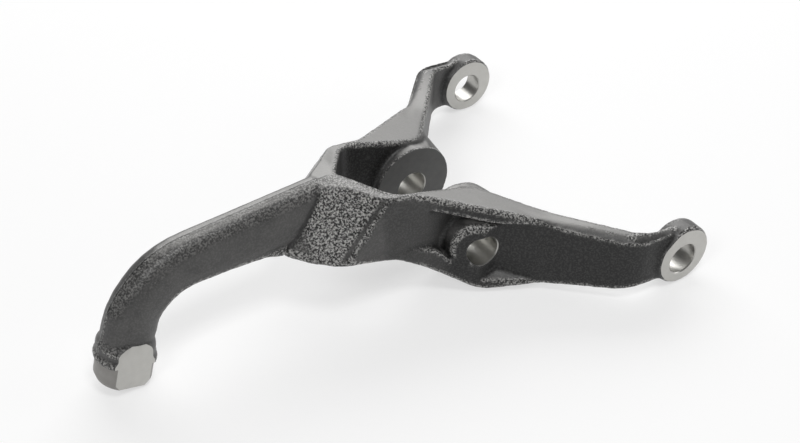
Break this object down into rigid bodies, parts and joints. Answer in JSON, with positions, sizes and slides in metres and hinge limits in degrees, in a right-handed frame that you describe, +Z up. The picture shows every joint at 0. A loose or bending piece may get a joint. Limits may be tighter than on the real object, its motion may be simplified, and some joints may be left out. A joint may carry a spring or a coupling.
{
  "type": "clutch fork",
  "caption": "Cast clutch release fork: a bent lever ending in flats, spreading into a crotch and diverging arms with a through pivot bore and bored eyes.",
  "frame": {"origin": "on the pivot bore's axis, midway between the two arms", "axes": "+Y along the pivot bore, +X towards the eyes, +Z up as the fork lies on its eyes and the end of its lever"},
  "size_m": [0.3184, 0.2118, 0.0773],
  "materials": {
    "casting": "rough cast skin, bare and grey, with bright machined faces"
  },
  "bodies": {
    "root": {"clutch_fork": "casting"}
  },
  "joints": []
}
